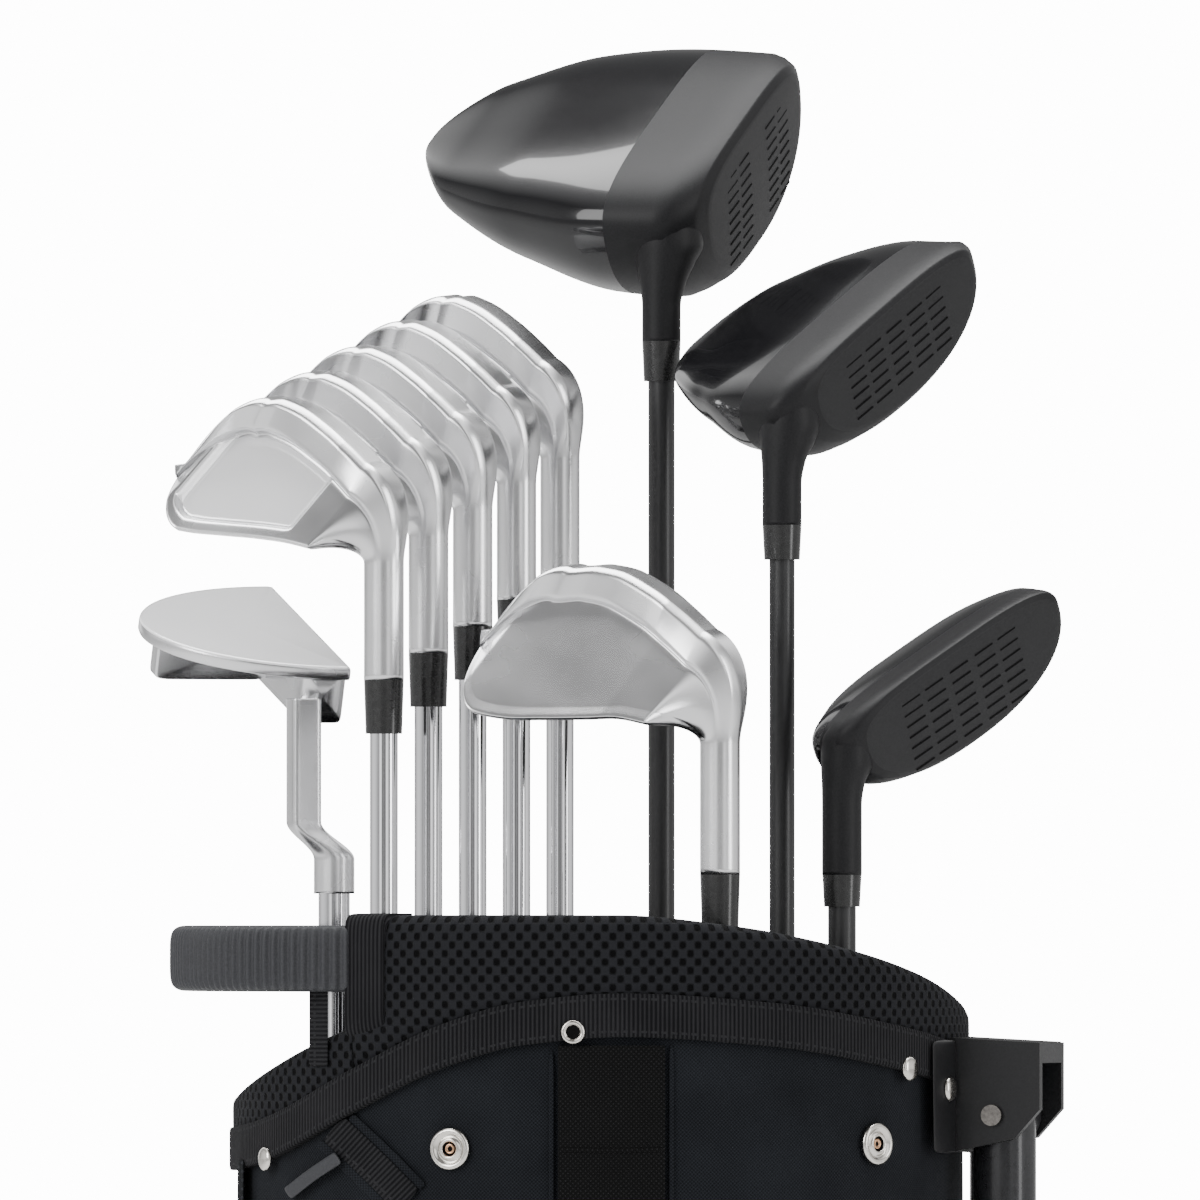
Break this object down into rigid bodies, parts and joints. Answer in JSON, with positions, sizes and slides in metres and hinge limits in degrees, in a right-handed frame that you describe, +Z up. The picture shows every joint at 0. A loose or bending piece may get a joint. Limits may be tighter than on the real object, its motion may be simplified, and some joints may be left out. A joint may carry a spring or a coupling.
{
  "type": "golf club set",
  "caption": "Set of golf clubs standing grip down in a stand bag with padded collar, divider wells, carry handle and folding legs.",
  "frame": {"origin": "centre of the bag's base, on the ground", "axes": "+Z up along the shafts, +X towards the folding legs, -Y towards the bag's front with the hook panel"},
  "size_m": [0.3241, 0.3529, 1.1634],
  "materials": {
    "black_head": "gloss black coating, matte face",
    "satin_steel": "satin blasted",
    "polished_steel": "mirror polished sole",
    "chrome_shaft": "bright plated",
    "graphite_shaft": "satin black paint",
    "ferrule_black": "semi-gloss",
    "grip_rubber": "matte, patterned",
    "bag_fabric": "woven polyester",
    "mesh_fabric": "three-layer spacer mesh",
    "webbing": "ribbed grosgrain",
    "hook_loop": "fuzzy loop pile",
    "black_plastic": "satin moulded",
    "handle_grey": "ribbed soft moulding",
    "leg_metal": "satin black anodised",
    "tip_rubber": "matte",
    "nickel": "bright plated",
    "steel_pin": "turned"
  },
  "bodies": {
    "bag": {"base_boot": "black_plastic", "bag_body": "bag_fabric", "collar_frame": "black_plastic", "collar_pad": "mesh_fabric", "collar_webbing": "webbing", "divider_panels": "bag_fabric", "carry_handle": "handle_grey", "leg_brackets": "black_plastic", "hinge_pins": "steel_pin", "rivets": "nickel", "snap_sockets": "nickel", "hook_panel": "hook_loop", "ball_pocket": "bag_fabric", "garment_pocket": "bag_fabric", "shoulder_strap": "mesh_fabric"},
    "base_foot": {"base_foot": "black_plastic"},
    "push_rod": {"push_rod": "leg_metal"},
    "leg_near": {"leg_near": "leg_metal", "leg_tip_near": "tip_rubber"},
    "leg_far": {"leg_far": "leg_metal", "leg_tip_far": "tip_rubber"},
    "iron_9": {"iron_9_head": "satin_steel", "iron_9_ferrule": "ferrule_black", "iron_9_shaft": "chrome_shaft", "iron_9_grip": "grip_rubber"},
    "iron_8": {"iron_8_head": "satin_steel", "iron_8_ferrule": "ferrule_black", "iron_8_shaft": "chrome_shaft", "iron_8_grip": "grip_rubber"},
    "iron_7": {"iron_7_head": "satin_steel", "iron_7_ferrule": "ferrule_black", "iron_7_shaft": "chrome_shaft", "iron_7_grip": "grip_rubber"},
    "iron_6": {"iron_6_head": "satin_steel", "iron_6_ferrule": "ferrule_black", "iron_6_shaft": "chrome_shaft", "iron_6_grip": "grip_rubber"},
    "iron_5": {"iron_5_head": "satin_steel", "iron_5_ferrule": "ferrule_black", "iron_5_shaft": "chrome_shaft", "iron_5_grip": "grip_rubber"},
    "wedge": {"wedge_head": "satin_steel", "wedge_ferrule": "ferrule_black", "wedge_shaft": "chrome_shaft", "wedge_grip": "grip_rubber"},
    "driver": {"driver_head": "black_head", "driver_ferrule": "ferrule_black", "driver_shaft": "graphite_shaft", "driver_grip": "grip_rubber"},
    "fairway_wood": {"fairway_wood_head": "black_head", "fairway_wood_ferrule": "ferrule_black", "fairway_wood_shaft": "graphite_shaft", "fairway_wood_grip": "grip_rubber"},
    "hybrid": {"hybrid_head": "black_head", "hybrid_ferrule": "ferrule_black", "hybrid_shaft": "graphite_shaft", "hybrid_grip": "grip_rubber"},
    "putter": {"putter_head": "polished_steel", "putter_shaft": "chrome_shaft", "putter_grip": "grip_rubber"}
  },
  "joints": [
    {"name": "leg_near_swing", "type": "hinge", "parent": "bag", "child": "leg_near", "pos_m": [0.1394, -0.033, 0.791], "axis": [-0.309, -0.9511, 0], "range_deg": [0, 24]},
    {"name": "leg_far_swing", "type": "hinge", "parent": "bag", "child": "leg_far", "pos_m": [0.1394, 0.033, 0.791], "axis": [0.309, -0.9511, 0], "range_deg": [0, 24]},
    {"name": "base_foot_tilt", "type": "hinge", "parent": "bag", "child": "base_foot", "pos_m": [0.098, 0, 0.005], "axis": [0, -1, 0], "range_deg": [0, 22]},
    {"name": "push_rod_slide", "type": "slide", "parent": "bag", "child": "push_rod", "axis": [0, 0, 1], "range_m": [0, 0.016]},
    {"name": "iron_9_lift", "type": "slide", "parent": "bag", "child": "iron_9", "axis": [0, 0, 1], "range_m": [0, 0.86]},
    {"name": "iron_8_lift", "type": "slide", "parent": "bag", "child": "iron_8", "axis": [0, 0, 1], "range_m": [0, 0.86]},
    {"name": "iron_7_lift", "type": "slide", "parent": "bag", "child": "iron_7", "axis": [0, 0, 1], "range_m": [0, 0.86]},
    {"name": "iron_6_lift", "type": "slide", "parent": "bag", "child": "iron_6", "axis": [0, 0, 1], "range_m": [0, 0.86]},
    {"name": "iron_5_lift", "type": "slide", "parent": "bag", "child": "iron_5", "axis": [0, 0, 1], "range_m": [0, 0.86]},
    {"name": "wedge_lift", "type": "slide", "parent": "bag", "child": "wedge", "axis": [0, 0, 1], "range_m": [0, 0.86]},
    {"name": "driver_lift", "type": "slide", "parent": "bag", "child": "driver", "axis": [0, 0, 1], "range_m": [0, 0.86]},
    {"name": "fairway_wood_lift", "type": "slide", "parent": "bag", "child": "fairway_wood", "axis": [0, 0, 1], "range_m": [0, 0.86]},
    {"name": "hybrid_lift", "type": "slide", "parent": "bag", "child": "hybrid", "axis": [0, 0, 1], "range_m": [0, 0.86]},
    {"name": "putter_turn", "type": "hinge", "parent": "bag", "child": "putter", "pos_m": [-0.093, 0.024, 0.9], "axis": [0, 0, 1], "range_deg": [0, 60]}
  ],
  "couplings": [
    {"joint": "leg_far_swing", "follows": "leg_near_swing", "ratio": 1},
    {"joint": "base_foot_tilt", "follows": "leg_near_swing", "ratio": 0.9165},
    {"joint": "push_rod_slide", "follows": "leg_near_swing", "m_per_rad": 0.0378}
  ]
}
